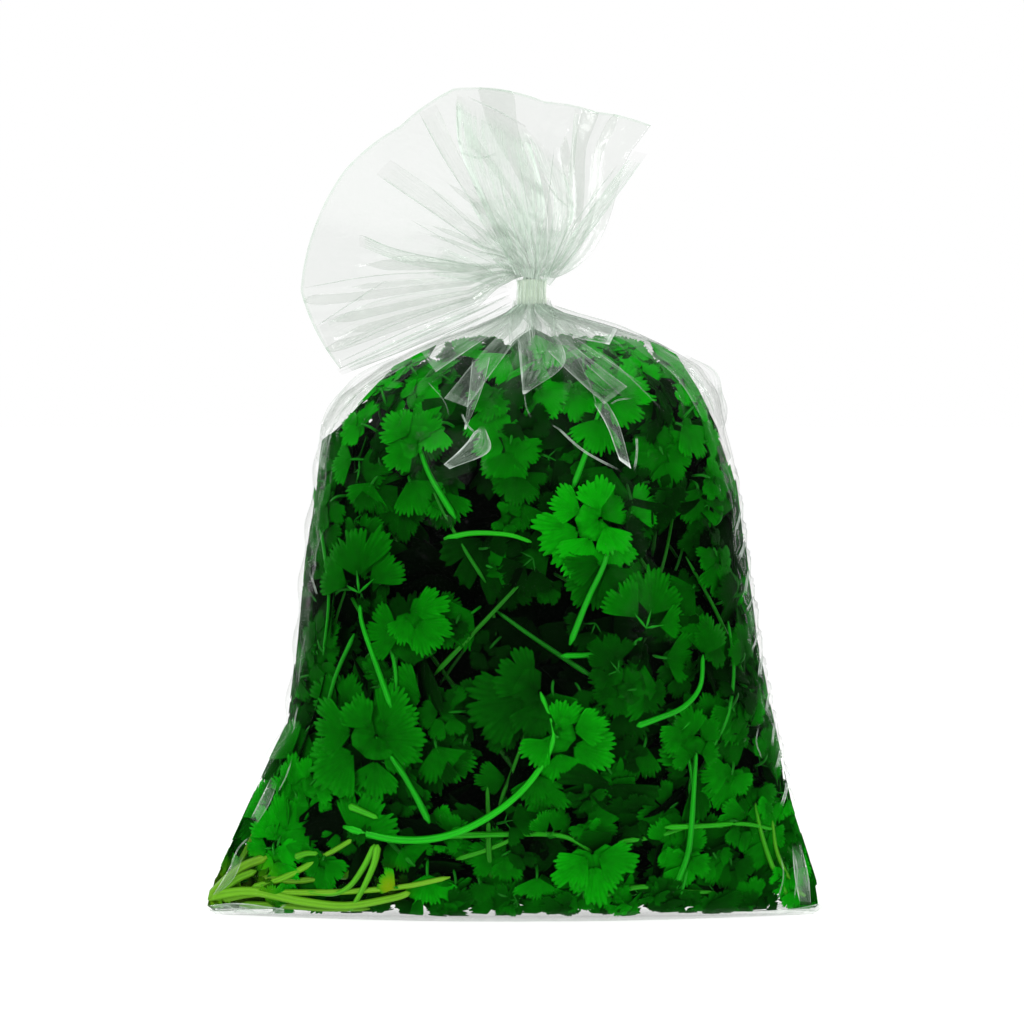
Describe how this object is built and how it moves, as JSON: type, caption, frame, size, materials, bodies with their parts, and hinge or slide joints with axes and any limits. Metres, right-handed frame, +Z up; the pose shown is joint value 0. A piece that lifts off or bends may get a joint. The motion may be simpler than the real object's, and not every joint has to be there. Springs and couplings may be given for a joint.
{
  "type": "coriander bunch",
  "caption": "Loose leafy coriander sprigs packed in a clear film bag, gathered and banded at the neck, standing on its base.",
  "frame": {"origin": "middle of the base, on the surface that the bag stands on", "axes": "+Z up; the front faces -Y; +X runs along the bag's base seam to the right"},
  "size_m": [0.218, 0.1158, 0.2879],
  "materials": {
    "clear_film": "clear glossy film",
    "clear_band": "clear film wound into a band",
    "leaf_green": "matt fresh leaf",
    "stem_green": "smooth fresh stem"
  },
  "bodies": {
    "root": {"bag": "clear_film", "leaf_01_back_a": "leaf_green", "leaf_01_back_b": "leaf_green", "leaf_01_back_c": "leaf_green", "leaf_01_front_a": "leaf_green", "leaf_01_front_b": "leaf_green", "leaf_01_front_c": "leaf_green", "leaf_02_front_a": "leaf_green", "leaf_03_front_a": "leaf_green", "leaf_04_back_a": "leaf_green", "leaf_04_back_b": "leaf_green", "leaf_04_front_a": "leaf_green", "leaf_04_front_b": "leaf_green", "leaf_05_back_a": "leaf_green", "leaf_05_back_b": "leaf_green", "leaf_05_back_c": "leaf_green", "leaf_05_back_d": "leaf_green", "leaf_05_front_a": "leaf_green", "leaf_05_front_b": "leaf_green", "leaf_05_front_c": "leaf_green", "leaf_05_front_d": "leaf_green", "leaf_06_front_a": "leaf_green", "leaf_07_back_a": "leaf_green", "leaf_07_back_b": "leaf_green", "leaf_07_front_a": "leaf_green", "leaf_07_front_b": "leaf_green", "leaf_08_back_a": "leaf_green", "leaf_08_back_b": "leaf_green", "leaf_08_front_a": "leaf_green", "leaf_08_front_b": "leaf_green", "leaf_09_back_a": "leaf_green", "leaf_09_front_a": "leaf_green", "leaf_11_front_a": "leaf_green", "leaf_11_front_b": "leaf_green", "leaf_13_back_a": "leaf_green", "leaf_13_front_a": "leaf_green", "leaf_14_front_a": "leaf_green", "neck_band": "clear_band", "stem_01_back": "stem_green", "stem_01_front": "stem_green", "stem_02_front": "stem_green", "stem_03_front": "stem_green", "stem_04_back": "stem_green", "stem_04_front": "stem_green", "stem_05_back": "stem_green", "stem_05_front": "stem_green", "stem_06_front": "stem_green", "stem_07_back": "stem_green", "stem_07_front": "stem_green", "stem_08_back": "stem_green", "stem_08_front": "stem_green", "stem_09_back": "stem_green", "stem_09_front": "stem_green", "stem_10_front": "stem_green", "stem_11_front": "stem_green", "stem_12_front": "stem_green", "stem_13_back": "stem_green", "stem_13_front": "stem_green", "stem_14_front": "stem_green"}
  },
  "joints": []
}
